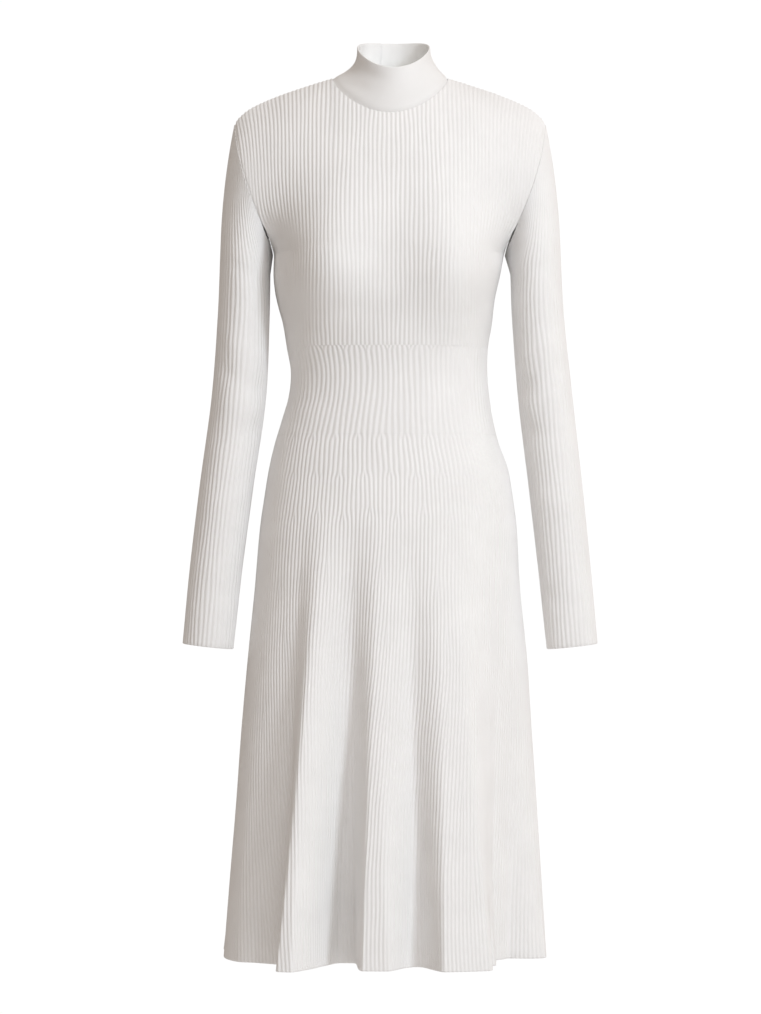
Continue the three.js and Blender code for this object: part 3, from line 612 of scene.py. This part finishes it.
def shell(name, outer, inner, rows_kept, columns_kept, uv, closed, material, slit=None):
    """A closed wall: the outer grid of points, and an inner one of some of its rows and columns.

    A slit is the row it ends at and the column on its left: it runs up to the last row.
    """
    rows, columns = outer.shape[:2]
    wide = columns - 1 if closed else columns
    outer_ids = np.arange(rows * wide).reshape(rows, wide)
    inner_points = inner[np.ix_(rows_kept, columns_kept)]
    inner_wide = len(columns_kept) - 1 if closed else len(columns_kept)
    inner_ids = outer_ids.size + np.arange(len(rows_kept) * inner_wide).reshape(len(rows_kept), inner_wide)
    points = np.concatenate([outer[:, :wide].reshape(-1, 3), inner_points[:, :inner_wide].reshape(-1, 3)])
    if closed:
        outer_ids = np.concatenate([outer_ids, outer_ids[:, :1]], axis=1)
        inner_ids = np.concatenate([inner_ids, inner_ids[:, :1]], axis=1)
    inner_uv = uv[np.ix_(rows_kept, columns_kept)]

    def quads(ids, corners, flipped, gap):
        order = [(0, 0), (0, 1), (1, 1), (1, 0)]
        if flipped:
            order = order[::-1]
        height, width = ids.shape
        kept = np.ones((height - 1, width - 1), bool)
        if gap:
            kept[gap[0] :, gap[1]] = False
        parts = [ids[a : height - 1 + a, b : width - 1 + b][kept] for a, b in order]
        places = [corners[a : height - 1 + a, b : width - 1 + b][kept] for a, b in order]
        return np.stack(parts, 1), np.stack(places, 1)

    rows_kept, columns_kept = np.array(rows_kept), np.array(columns_kept)
    inner_gap = None
    if slit:
        inner_gap = (int(np.searchsorted(rows_kept, slit[0])), int(np.searchsorted(columns_kept, slit[1])))
    outer_quads, outer_places = quads(outer_ids, uv, False, slit)
    inner_quads, inner_places = quads(inner_ids, inner_uv, True, inner_gap)
    triangles = []
    all_rows, all_columns = np.arange(rows), np.arange(columns)

    def edge_across(row, inner_row, first, last, upper):
        wide_part = (all_columns >= first) & (all_columns <= last)
        kept_part = (columns_kept >= first) & (columns_kept <= last)
        sides = [
            (outer_ids[row][wide_part], all_columns[wide_part]),
            (inner_ids[inner_row][kept_part], columns_kept[kept_part]),
        ]
        if not upper:
            sides.reverse()
        triangles.extend(stitch(*[list(part) for side in sides for part in side]))

    def edge_up(column, inner_column, first, left):
        tall_part = all_rows >= first
        kept_part = rows_kept >= first
        sides = [
            (outer_ids[:, column][tall_part], all_rows[tall_part]),
            (inner_ids[:, inner_column][kept_part], rows_kept[kept_part]),
        ]
        if not left:
            sides.reverse()
        triangles.extend(stitch(*[list(part) for side in sides for part in side]))

    edge_across(0, 0, 0, columns - 1, False)
    if slit:
        row, column = slit
        inner_row, inner_column = inner_gap
        edge_across(-1, -1, 0, column, True)
        edge_across(-1, -1, column + 1, columns - 1, True)
        edge_across(row, inner_row, column, column + 1, True)
        edge_up(column, inner_column, row, False)
        edge_up(column + 1, inner_column + 1, row, True)
    else:
        edge_across(-1, -1, 0, columns - 1, True)
    if not closed:
        edge_up(0, 0, 0, True)
        edge_up(-1, -1, 0, False)
    triangles = np.array(triangles)
    corner_uv = np.concatenate([uv[:, :wide].reshape(-1, 2), inner_uv[:, :inner_wide].reshape(-1, 2)])
    mesh = bpy.data.meshes.new(name)
    quad_faces = np.concatenate([outer_quads, inner_quads])
    corners = np.concatenate([quad_faces.ravel(), triangles.ravel()])
    starts = np.concatenate(
        [np.arange(len(quad_faces)) * 4, len(quad_faces) * 4 + np.arange(len(triangles)) * 3]
    )
    mesh.vertices.add(len(points))
    mesh.vertices.foreach_set("co", (points * 0.001).ravel())
    mesh.loops.add(len(corners))
    mesh.loops.foreach_set("vertex_index", corners.astype(np.int32))
    mesh.polygons.add(len(starts))
    mesh.polygons.foreach_set("loop_start", starts.astype(np.int32))
    layer = mesh.uv_layers.new(name="knit")
    quad_uv = np.concatenate([outer_places.reshape(-1, 2), inner_places.reshape(-1, 2)])
    places = np.concatenate([quad_uv, corner_uv[triangles.ravel()]])
    layer.data.foreach_set("uv", (places * 0.001).ravel())
    mesh.update(calc_edges=True)
    mesh.validate()
    if signed_volume(points, quad_faces, triangles) < 0:
        mesh.flip_normals()
    mesh.shade_smooth()
    mesh.set_sharp_from_angle(angle=math.radians(60))
    mesh.materials.append(material)
    piece = bpy.data.objects.new(name, mesh)
    bpy.context.collection.objects.link(piece)
    return piece


def signed_volume(points, quads, triangles):
    halves = np.concatenate([quads[:, [0, 1, 2]], quads[:, [0, 2, 3]], triangles])
    a, b, c = (points[halves[:, k]] for k in range(3))
    return float(np.sum(a * np.cross(b, c)))


def kept_places(count, step):
    places = list(range(0, count, step))
    if places[-1] != count - 1:
        places.append(count - 1)
    return places


def cloth_lengths(points, axis):
    """How far along the cloth each point of a grid lies, from its first row or column."""
    steps = np.linalg.norm(np.diff(points, axis=axis), axis=-1)
    start = np.zeros_like(np.take(steps, [0], axis=axis))
    return np.concatenate([start, np.cumsum(steps, axis=axis)], axis=axis)


def heights_between(low, high, step, extra=()):
    count = max(1, math.ceil((high - low) / step))
    levels = set(np.round(np.linspace(low, high, count + 1), 3))
    for a, b, fine in extra:
        number = math.ceil((b - a) / fine)
        levels = {z for z in levels if z <= a or z >= b} | set(np.round(np.linspace(a, b, number + 1), 3))
    return np.array(sorted(levels))


# Materials

def node(tree, kind, x, y, **values):
    made = tree.nodes.new(kind)
    made.location = (x, y)
    for key, value in values.items():
        setattr(made, key, value)
    return made


def knit_material(name, colour, wale, course, bump):
    """Knitted cloth: V-shaped stitches, wale by wale, slight fuzz, an uneven tone, and painted shade that
    darkens the base colour in the stitches' hollows.
    """
    material = bpy.data.materials.new(name)
    material.use_nodes = True
    tree = material.node_tree
    shader = tree.nodes["Principled BSDF"]
    link = tree.links.new
    shader.inputs["Roughness"].default_value = 0.92
    shader.inputs["Specular IOR Level"].default_value = 0.25
    shader.inputs["Sheen Weight"].default_value = 0.12
    shader.inputs["Sheen Roughness"].default_value = 0.5
    shader.inputs["Sheen Tint"].default_value = (1.0, 0.98, 0.95, 1.0)

    def maths(operation, a, b=None, x=0, y=0):
        made = node(tree, "ShaderNodeMath", x, y, operation=operation)
        for socket, value in zip(made.inputs, (a, b)):
            if value is None:
                continue
            if isinstance(value, (int, float)):
                socket.default_value = value
            else:
                link(value, socket)
        return made.outputs[0]

    places = node(tree, "ShaderNodeUVMap", -1500, 0, uv_map="knit")
    split = node(tree, "ShaderNodeSeparateXYZ", -1300, 0)
    link(places.outputs[0], split.inputs[0])
    across = maths("MULTIPLY", split.outputs[0], 1000 / wale, -1100, 100)
    along = maths("MULTIPLY", split.outputs[1], 1000 / course, -1100, -100)
    from_middle = maths("ABSOLUTE", maths("SUBTRACT", maths("FRACT", across, None), 0.5))
    leg = maths("ADD", along, maths("MULTIPLY", from_middle, 1.2))
    loops = maths("SINE", maths("MULTIPLY", leg, 2 * math.pi))
    valley = maths("POWER", maths("MULTIPLY", from_middle, 2.0), 3.0)
    height = maths("SUBTRACT", maths("MULTIPLY", loops, 0.35), valley)
    fuzz = node(tree, "ShaderNodeTexNoise", -700, -300)
    fuzz.inputs["Scale"].default_value = 1800
    fuzz.inputs["Detail"].default_value = 3
    coordinates = node(tree, "ShaderNodeTexCoord", -1500, -300)
    link(coordinates.outputs["Object"], fuzz.inputs["Vector"])
    height = maths("ADD", height, maths("MULTIPLY", fuzz.outputs[0], 0.5))
    raised = node(tree, "ShaderNodeBump", -200, -300)
    raised.inputs["Strength"].default_value = bump
    raised.inputs["Distance"].default_value = 0.00025
    link(height, raised.inputs["Height"])
    link(raised.outputs[0], shader.inputs["Normal"])

    tone = node(tree, "ShaderNodeTexNoise", -700, 300)
    tone.inputs["Scale"].default_value = 22
    tone.inputs["Detail"].default_value = 4
    link(coordinates.outputs["Object"], tone.inputs["Vector"])
    ramp = node(tree, "ShaderNodeValToRGB", -450, 300)
    ramp.color_ramp.elements[0].position = 0.3
    ramp.color_ramp.elements[0].color = (*(part * 0.965 for part in colour), 1)
    ramp.color_ramp.elements[1].position = 0.7
    ramp.color_ramp.elements[1].color = (*colour, 1)
    link(tone.outputs[0], ramp.inputs[0])
    # The base colour: the random tone multiplied by painted shade
    tone_and_painted_shade = node(tree, "ShaderNodeMix", -200, 300, data_type="RGBA", blend_type="MULTIPLY")
    tone_and_painted_shade.inputs[0].default_value = 0.12
    link(ramp.outputs[0], tone_and_painted_shade.inputs[6])
    # Painted shade: where the stitch bump is low, in the hollows between loops and wales, the base colour is
    # made slightly darker
    painted_valley_shade = node(tree, "ShaderNodeMapRange", -450, 50)
    painted_valley_shade.inputs["From Min"].default_value = -1.2
    painted_valley_shade.inputs["From Max"].default_value = 0.3
    painted_valley_shade.inputs["To Min"].default_value = 0.6
    link(height, painted_valley_shade.inputs["Value"])
    link(painted_valley_shade.outputs[0], tone_and_painted_shade.inputs[7])
    link(tone_and_painted_shade.outputs[2], shader.inputs["Base Color"])
    return material


rib_knit = knit_material("rib_knit_yarn", (0.875, 0.868, 0.862), 1.36, 1.05, 0.5)
plain_knit = knit_material("plain_knit_yarn", (0.88, 0.873, 0.866), 1.1, 0.9, 0.5)


# Pieces

def declare(piece, node_name, flat, area):
    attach(piece, "root")
    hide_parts(node_name)


def body_half(name, node_name, face, levels, columns_a_group, phase_of, rows_step, flat, area, hemmed):
    columns = GROUPS * columns_a_group + 1
    shares = np.linspace(0, 1, columns)
    angles = np.stack([even_angles(z, face, shares)[0] for z in levels])
    grid_z = np.broadcast_to(levels[:, None], angles.shape)
    base = body_point(grid_z, angles)
    normal = body_normal(grid_z, angles)
    flat_normal = unit(normal * np.array([1.0, 1.0, 0.0]))
    grid_share = np.broadcast_to(shares, angles.shape)
    height = rib_height(phase_of(grid_z, grid_share) + rib_wander(grid_z, grid_share))
    depth = (1 - height) * RIB_DEPTH
    if hemmed:
        rise = grid_z - HEM_Z
        depth = depth + HEM_ROUNDING * (1 - np.clip(rise / HEM_ROUNDING_HEIGHT, 0, 1)) ** 2
    base = creased(base, flat_normal, BODY_CREASES)
    outer = base - flat_normal * depth[..., None]
    inner = base - flat_normal * WALL
    for edge in (0, -1):
        outer[:, edge, 1] = face_sign(face) * SEAM / 2
        inner[:, edge, 1] = face_sign(face) * SEAM / 2
    uv = np.stack([cloth_lengths(base, 1), cloth_lengths(base, 0)], -1)
    kept_rows, kept_columns = kept_places(len(levels), rows_step), kept_places(columns, 6)
    piece = shell(name, outer, inner, kept_rows, kept_columns, uv, False, rib_knit)
    declare(piece, node_name, flat, area)


def skirt_levels():
    top = WAIST_BOTTOM_Z - SEAM / 2
    return heights_between(HEM_Z, top, 11, [(-560, top, 2.6), (HEM_Z, HEM_Z + 1.5, 0.5)])


def waist_levels():
    top = WAIST_TOP_Z - SEAM / 2
    return heights_between(WAIST_BOTTOM_Z + SEAM / 2, top, 4, [(WAIST_TOP_Z - 8, top, 1.2)])


def bodice_half(name, node_name, face, flat, area):
    columns = GROUPS * BODICE_COLUMNS + 1
    u = np.linspace(-1, 1, columns)
    levels = heights_between(WAIST_TOP_Z + SEAM / 2, UNDERARM_Z, 5)[:-1]
    shares = np.linspace(0, 1, YOKE_ROWS)
    angle = column_angle(face, u)
    low_z = np.broadcast_to(levels[:, None], (len(levels), columns))
    low = body_point(low_z, angle[None, :])
    low_normal = body_normal(low_z, angle[None, :] + 0 * low_z)
    reach = top_share(face, u)
    v = shares[:, None] * (1 - (1 - reach[None, :]) * shares[:, None])
    high = yoke_point(face, u[None, :] + 0 * v, v)
    high_normal = yoke_normal(face, u[None, :] + 0 * v, v)
    join = smoothstep(shares, 0, 0.12)[:, None, None]
    first = body_normal(UNDERARM_Z + 0 * u, angle)
    high_normal = unit(high_normal * join + first[None] * (1 - join))
    neck = neck_normal(neck_angle_of(high[-1]))
    seam = shoulder_normal(high[-1][:, 0])
    last = np.where((reach < 1)[:, None], neck, seam)
    ending = smoothstep(shares, 0.9, 1)[:, None, None]
    high_normal = unit(high_normal * (1 - ending) + last[None] * ending)
    for edge, side in ((0, -1), (-1, 1)):
        hole = Armhole(side, face, v[:, edge])
        near = np.exp(-(((1 - np.abs(u)) / 0.02) ** 2))[None, :, None]
        own = hole.bodice[:, None, :]
        one_side = (np.sign(u) == side)[None, :, None]
        high_normal = np.where(one_side, unit(high_normal * (1 - near) + own * near), high_normal)
    points = np.concatenate([low, high])
    normals = np.concatenate([low_normal, high_normal])
    arcs = rib_arcs(face, u, levels, v, low)
    slit = None
    if face == BACK:
        points, normals, arcs, slit = round_slit(u, points, normals, arcs)
    waist_length = even_angles(WAIST_TOP_Z, face, [1.0])[1]
    pitch_low = waist_length / (5 * GROUPS)
    heights = np.concatenate([levels, UNDERARM_Z + YOKE_LENGTH * shares])
    pitch = pitch_low + (CHEST_PITCH - pitch_low) * smoothstep(heights, WAIST_TOP_Z, UNDERARM_Z)
    # The bodice's ribs are counted from the middle of the half, where they go on from the waist's
    middle = 4 * GROUPS / 2 + ((GROUPS / 2 - 0.5) % 1 - 0.5)
    phase = middle + arcs / pitch[:, None] + rib_wander(heights[:, None], (u[None, :] + 1) / 2)
    depth = (1 - rib_height(phase)) * RIB_DEPTH
    seam_nearness = np.exp(-(((1 - np.abs(u)) / ARMHOLE_GROOVE_WIDTH) ** 2))[None, :]
    depth = depth + ARMHOLE_GROOVE * seam_nearness * (heights > UNDERARM_Z)[:, None]
    points = creased(points, normals, BODICE_CREASES)
    outer = points - normals * depth[..., None]
    inner = points - normals * WALL
    below = len(levels)
    for edge in (0, -1):
        for grid in (outer, inner):
            grid[: below + 1, edge, 1] = face_sign(face) * SEAM / 2
    outer[0, :, 2] = levels[0]
    inner[0, :, 2] = levels[0]
    uv = np.stack([cloth_lengths(points, 1), cloth_lengths(points, 0)], -1)
    kept_rows, kept_columns = kept_places(len(points), 3), kept_places(columns, 6)
    if slit:
        kept_rows = sorted({*kept_rows, slit[0]})
        kept_columns = sorted({*kept_columns, slit[1], slit[1] + 1})
    piece = shell(name, outer, inner, kept_rows, kept_columns, uv, False, rib_knit, slit)
    declare(piece, node_name, flat, area)


def round_slit(u, points, normals, arcs):
    """The same rows with their columns drawn to the slit, so that two of them run up its edges."""
    top = points[-1]
    column = int(np.argmin(np.abs((top[:-1, 0] + top[1:, 0]) / 2 - SLIT_X)))
    bottom = neck_point(math.pi)[2] - SLIT_LENGTH
    row = int(np.argmax(points[:, column, 2] > bottom))
    middle = (u[column] + u[column + 1]) / 2
    nearness = np.exp(-(((u - middle) / SLIT_NEARNESS) ** 2))
    near = np.abs(u) < NECK_SHARE
    moved = [points.copy(), normals.copy(), arcs.copy()]
    for index in range(len(points)):
        line = points[index, near, 0]
        order = np.argsort(line)
        shift = np.interp(SLIT_X, line[order], u[near][order]) - middle
        fading = smoothstep(index, row - SLIT_FADING_ROWS, row)
        places = u + shift * fading * nearness
        for grid, source in zip(moved, (points, normals, arcs)):
            if source.ndim == 2:
                grid[index] = np.interp(places, u, source[index])
            else:
                grid[index] = np.stack([np.interp(places, u, source[index, :, k]) for k in range(3)], -1)
    moved[1] = unit(moved[1])
    return (*moved, (row, column))


def neck_angle_of(points):
    depth = np.where(points[:, 1] < 0, NECK_FRONT, NECK_BACK)
    return np.arctan2(points[:, 0] / NECK_HALF_WIDTH, -points[:, 1] / depth)


def rib_arcs(face, u, levels, v, low):
    """How far each point lies from the centre line along the cloth, on rows that the neckline doesn't cut."""
    middle = len(u) // 2

    def from_middle(points):
        lengths = cloth_lengths(points, 1)
        return lengths - lengths[:, middle : middle + 1]

    whole = np.linspace(0, 1, 61)
    uncut = from_middle(yoke_point(face, u[None, :], whole[:, None]))
    upper = np.stack([np.interp(v[:, j], whole, uncut[:, j]) for j in range(len(u))], 1)
    return np.concatenate([from_middle(low), upper])


def sleeve_tube(name, node_name, side, flat, area):
    columns = SLEEVE_TUBE_COLUMNS
    last = len(SLEEVE)
    share = np.linspace(0, 1, columns)
    rows = np.concatenate([np.linspace(0, 1, 34)[:-1], np.linspace(1, last, 92)])
    rows = np.concatenate([rows[:-1], [last - 0.010, last - 0.004, last]])
    grid_row, grid_share = np.meshgrid(rows, share, indexing="ij")
    points = sleeve_point(side, grid_row, grid_share)
    normals = sleeve_normal(side, grid_row, grid_share)
    edge = cap_edges[side].read(cap_edges[side].normals, grid_share)
    near = np.exp(-((grid_row / 0.05) ** 2))[..., None]
    normals = unit(normals * (1 - near) + unit(edge) * near)
    lengths = cloth_lengths(points, 1)
    half = np.where(grid_share <= 0.5, lengths, lengths[:, -1:] - lengths)
    pitch = SLEEVE_PITCH[0] + (SLEEVE_PITCH[1] - SLEEVE_PITCH[0]) * np.clip(rows / last, 0, 1)
    wander = rib_wander(SLEEVE_LENGTH_A_ROW * grid_row, grid_share)
    depth = (1 - rib_height(half / pitch[:, None] + wander)) * RIB_DEPTH
    depth = depth + CUFF_ROUNDING * (1 - np.clip((last - grid_row) / CUFF_ROUNDING_ROWS, 0, 1)) ** 2
    creases = [
        ((side * start[0], *start[1:]), (side * end[0], *end[1:]), width, height)
        for start, end, width, height in SLEEVE_CREASES
    ]
    points = creased(points, normals, creases)
    outer = points - normals * depth[..., None]
    inner = points - normals * WALL
    uv = np.stack([lengths, cloth_lengths(points, 0)], -1)
    piece = shell(name, outer, inner, kept_places(len(rows), 3), kept_places(columns, 5), uv, True, rib_knit)
    declare(piece, node_name, flat, area)


def collar_strip():
    columns, rows = COLLAR_STRIP_COLUMNS, COLLAR_STRIP_ROWS
    degrees = np.linspace(*COLLAR_ENDS, columns)
    angle = np.radians(degrees)[None, :]
    share = np.concatenate([np.linspace(0, 0.97, rows - 4), [0.98, 0.99, 0.996, 1.0]])[:, None]
    points = collar_point(angle, share)
    normals = collar_normal(angle, share)
    lap = LAP_DEPTH * (1 - smoothstep(degrees, LAP_FROM, LAP_TO))
    points = points - normals * lap[None, :, None]
    fixed = smoothstep(share, 0, COLLAR_CREASES_FROM)[..., None]
    points = points * (1 - fixed) + creased(points, normals, COLLAR_CREASES) * fixed
    points[0] += np.cross(neck_along(angle[0]), normals[0]) * -SEAM
    edge = np.clip((share - COLLAR_EDGE_SHARE) / (1 - COLLAR_EDGE_SHARE), 0, 1) ** 2
    depth = COLLAR_EDGE_OUTSIDE * edge + NECK_GROOVE * np.exp(-((share / NECK_GROOVE_WIDTH) ** 2))
    outer = points - normals * depth[..., None]
    inner = points - normals * (COLLAR_WALL - COLLAR_EDGE_INSIDE * edge)[..., None]
    uv = np.stack([cloth_lengths(points, 1), cloth_lengths(points, 0)], -1)
    kept_rows = sorted({*range(0, rows, 3), rows - 3, rows - 2, rows - 1})
    piece = shell("mock_neck", outer, inner, kept_rows, kept_places(columns, 2), uv, False, plain_knit)
    declare(piece, "collar", (0.40, 0.07), 0.0215)


# Camera and light

def stage_set():
    camera = bpy.data.cameras.new("camera")
    camera.lens = CAMERA_LENS
    camera.sensor_width = 36
    camera.sensor_fit = "AUTO"
    camera.clip_end = 30
    viewer = bpy.data.objects.new("camera", camera)
    viewer.location = CAMERA_PLACE
    viewer.rotation_euler = (math.radians(90), 0, 0)
    bpy.context.collection.objects.link(viewer)
    bpy.context.scene.camera = viewer

    def area_light(name, place, aim, size, power, colour):
        lamp = bpy.data.lights.new(name, "AREA")
        lamp.shape = "RECTANGLE"
        lamp.size, lamp.size_y = size
        lamp.energy = power
        lamp.color = colour
        light = bpy.data.objects.new(name, lamp)
        light.location = place
        light.visible_camera = False
        direction = np.array(aim) - np.array(place)
        distance = np.linalg.norm(direction)
        tilt = math.acos(-direction[2] / distance)
        heading = math.atan2(direction[1], direction[0]) - math.pi / 2
        light.rotation_euler = (tilt, 0, heading)
        bpy.context.collection.objects.link(light)

    for light in LIGHTS:
        area_light(*light)

    world = bpy.data.worlds.new("studio")
    bpy.context.scene.world = world
    world.use_nodes = True
    tree = world.node_tree
    background = tree.nodes["Background"]
    coordinates = node(tree, "ShaderNodeTexCoord", -900, 0)
    split = node(tree, "ShaderNodeSeparateXYZ", -700, 0)
    tree.links.new(coordinates.outputs["Generated"], split.inputs[0])
    spread = node(tree, "ShaderNodeMapRange", -500, 0, interpolation_type="SMOOTHSTEP")
    spread.inputs["From Min"].default_value = BACKDROP_FROM
    spread.inputs["From Max"].default_value = BACKDROP_TO
    spread.inputs["To Min"].default_value = 0.0
    spread.inputs["To Max"].default_value = 1.0
    tree.links.new(split.outputs[1], spread.inputs["Value"])
    side = node(tree, "ShaderNodeMapRange", -500, -250)
    side.inputs["From Min"].default_value = -1
    side.inputs["From Max"].default_value = 1
    side.inputs["To Min"].default_value = RIGHT_STRENGTH
    side.inputs["To Max"].default_value = LEFT_STRENGTH
    tree.links.new(split.outputs[0], side.inputs["Value"])
    mix = node(tree, "ShaderNodeMix", -250, 0, data_type="FLOAT")
    tree.links.new(spread.outputs[0], mix.inputs[0])
    tree.links.new(side.outputs[0], mix.inputs[2])
    mix.inputs[3].default_value = BACKDROP_STRENGTH
    tree.links.new(mix.outputs[0], background.inputs["Strength"])
    tint = node(tree, "ShaderNodeMix", -250, 250, data_type="RGBA")
    tree.links.new(spread.outputs[0], tint.inputs[0])
    tint.inputs[6].default_value = ROOM_TINT
    tint.inputs[7].default_value = (1, 1, 1, 1)
    tree.links.new(tint.outputs[2], background.inputs["Color"])

    ground = bpy.data.meshes.new("floor")
    turns = np.linspace(0, 2 * math.pi, FLOOR_SIDES + 1)[:-1]
    corners = [(math.cos(a) * FLOOR_RADIUS, math.sin(a) * FLOOR_RADIUS, FLOOR_Z) for a in turns]
    ground.from_pydata(corners, [], [tuple(range(FLOOR_SIDES))])
    pale = bpy.data.materials.new("pale_floor")
    pale.use_nodes = True
    shader = pale.node_tree.nodes["Principled BSDF"]
    shader.inputs["Base Color"].default_value = (0.88, 0.88, 0.88, 1)
    shader.inputs["Roughness"].default_value = 0.8
    ground.materials.append(pale)
    floor = bpy.data.objects.new("floor", ground)
    bpy.context.collection.objects.link(floor)
    bpy.context.scene.view_settings.view_transform = "Standard"


stage_set()
collar_strip()
bodice_half("bodice_front_knit", "bodice_front", FRONT, (0.42, 0.34), 0.125)
bodice_half("bodice_back_knit", "bodice_back", BACK, (0.42, 0.34), 0.12)
waist_mesh = (waist_levels(), WAIST_COLUMNS, waist_phase, 2, (0.36, 0.11), None, False)
skirt_mesh = (skirt_levels(), SKIRT_COLUMNS, body_phase, 3, (0.86, 0.66), 0.39, True)
body_half("waist_front_knit", "waist_front", FRONT, *waist_mesh)
body_half("waist_back_knit", "waist_back", BACK, *waist_mesh)
body_half("skirt_front_knit", "skirt_front", FRONT, *skirt_mesh)
body_half("skirt_back_knit", "skirt_back", BACK, *skirt_mesh)
sleeve_tube("sleeve_left_knit", "sleeve_left", 1, (0.32, 0.66), 0.138)
sleeve_tube("sleeve_right_knit", "sleeve_right", -1, (0.32, 0.66), 0.138)
